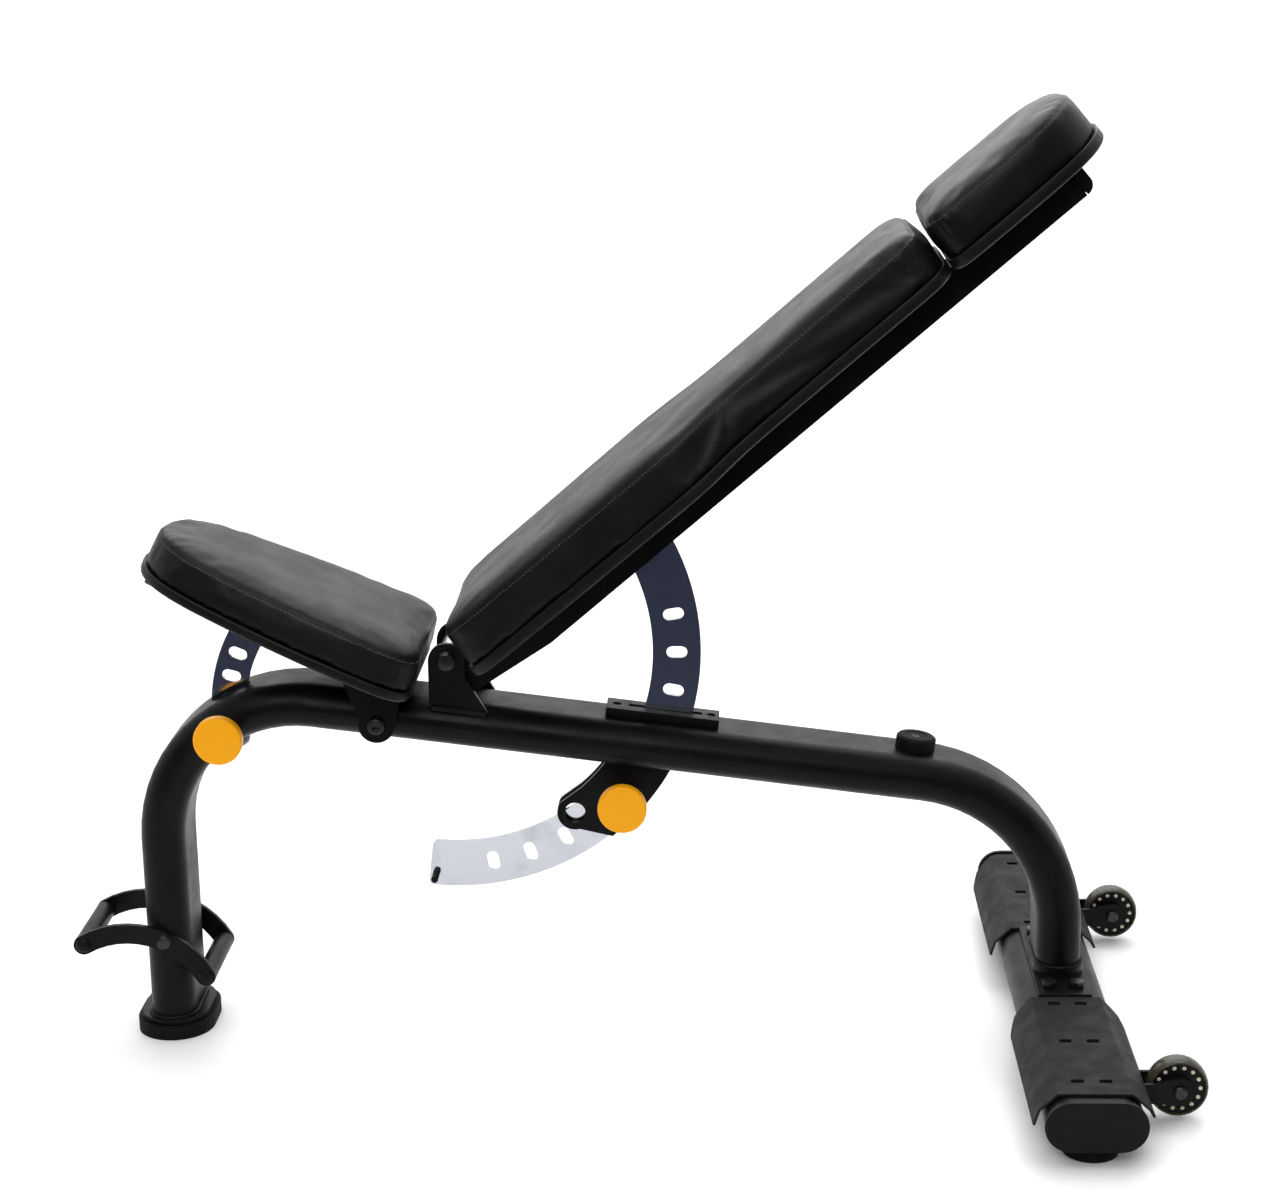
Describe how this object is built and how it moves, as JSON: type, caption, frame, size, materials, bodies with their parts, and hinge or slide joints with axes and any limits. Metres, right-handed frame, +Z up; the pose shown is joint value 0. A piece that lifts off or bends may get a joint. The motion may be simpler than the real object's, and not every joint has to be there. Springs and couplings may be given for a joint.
{
  "type": "adjustable weight bench",
  "caption": "Weight bench with tilting seat and backrest, slotted selector arcs locked by spring pins, a bent flat-oval frame, a rear crossbar with wheels and a front lifting handle.",
  "frame": {"origin": "on the floor, below the middle of the bench's box at rest", "axes": "+X runs from the seat end to the wheel end, +Y across the bench away from the knobs, +Z up"},
  "size_m": [1.2315, 0.7106, 1.0422],
  "materials": {
    "black_powder_coat": "satin black powder coat",
    "charcoal_tread_coat": "coarse matt charcoal anti-slip coat",
    "black_rubber": "matt moulded rubber",
    "black_plastic": "fine-grained moulded nylon",
    "clear_urethane": "clear yellowish cast polyurethane",
    "zinc_steel": "bright zinc plate",
    "black_oxide_steel": "blackened steel screws and pins",
    "polished_steel": "ground and polished bare steel",
    "bronze": "sintered bronze",
    "orange_plastic": "smooth yellow-orange moulded plastic",
    "black_vinyl": "fine-grained black upholstery vinyl",
    "pad_board": "black stained plywood"
  },
  "bodies": {
    "root": {"main_frame_tube": "black_powder_coat", "front_foot_plate": "black_powder_coat", "front_foot_rubber": "black_rubber", "rear_leg_base": "black_powder_coat", "base_bolt_1": "black_oxide_steel", "base_bolt_2": "black_oxide_steel", "base_bolt_3": "black_oxide_steel", "base_bolt_4": "black_oxide_steel", "crossbar_tube": "black_powder_coat", "crossbar_end_cap_near": "black_plastic", "crossbar_end_cap_far": "black_plastic", "crossbar_foot_near": "black_rubber", "crossbar_foot_far": "black_rubber", "tread_cover_near": "charcoal_tread_coat", "tread_cover_far": "charcoal_tread_coat", "wheel_bracket_near": "black_powder_coat", "wheel_bracket_far": "black_powder_coat", "wheel_axle_near": "black_oxide_steel", "wheel_axle_far": "black_oxide_steel", "handle_plate_near": "black_powder_coat", "handle_plate_far": "black_powder_coat", "handle_bar_front": "black_powder_coat", "handle_bar_rear": "black_powder_coat", "handle_bolt": "black_oxide_steel", "hinge_ear_near": "black_powder_coat", "hinge_ear_far": "black_powder_coat", "hinge_pin": "black_oxide_steel", "seat_pivot_sleeve": "bronze", "guide_block": "black_plastic", "latch_plate_near": "black_powder_coat", "latch_plate_far": "black_powder_coat", "back_pin_housing": "black_powder_coat", "back_pin_spring": "zinc_steel", "seat_pin_housing": "black_powder_coat", "seat_pin_spring": "zinc_steel", "beam_bumper": "black_rubber"},
    "backrest": {"backrest_beam": "black_powder_coat", "backrest_beam_cap": "black_plastic", "hinge_bush_near": "bronze", "hinge_bush_far": "bronze", "hinge_spacer": "zinc_steel", "back_board": "pad_board", "back_pad": "black_vinyl", "head_board": "pad_board", "head_pad": "black_vinyl", "back_selector_arc": "polished_steel", "arc_stop_pin": "black_powder_coat"},
    "seat": {"seat_bracket": "black_powder_coat", "seat_pivot_bolt": "black_oxide_steel", "seat_board": "pad_board", "seat_pad": "black_vinyl", "seat_selector_arc": "polished_steel"},
    "back_lock": {"back_pin": "polished_steel", "back_knob": "orange_plastic"},
    "seat_lock": {"seat_pin": "polished_steel", "seat_knob": "orange_plastic"},
    "wheel_near": {"wheel_hub_near": "black_plastic", "wheel_tyre_near": "clear_urethane"},
    "wheel_far": {"wheel_hub_far": "black_plastic", "wheel_tyre_far": "clear_urethane"}
  },
  "joints": [
    {"name": "backrest_tilt", "type": "hinge", "parent": "root", "child": "backrest", "pos_m": [-0.1875, 0, 0.441], "axis": [0, -1, 0], "range_deg": [-40, 40]},
    {"name": "seat_tilt", "type": "hinge", "parent": "root", "child": "seat", "pos_m": [-0.265, 0, 0.3715], "axis": [0, 1, 0], "range_deg": [-27, 0]},
    {"name": "back_lock_slide", "type": "slide", "parent": "root", "child": "back_lock", "axis": [0, 1, 0], "range_m": [0, 0.012], "stiffness_N_per_m": 400, "springref_m": 0.02},
    {"name": "seat_lock_slide", "type": "slide", "parent": "root", "child": "seat_lock", "axis": [0, 1, 0], "range_m": [0, 0.012], "stiffness_N_per_m": 400, "springref_m": 0.02},
    {"name": "wheel_near_spin", "type": "hinge", "parent": "root", "child": "wheel_near", "pos_m": [0.5837, -0.24, 0.038], "axis": [0, 1, 0], "continuous": true},
    {"name": "wheel_far_spin", "type": "hinge", "parent": "root", "child": "wheel_far", "pos_m": [0.5837, 0.24, 0.038], "axis": [0, 1, 0], "continuous": true}
  ]
}
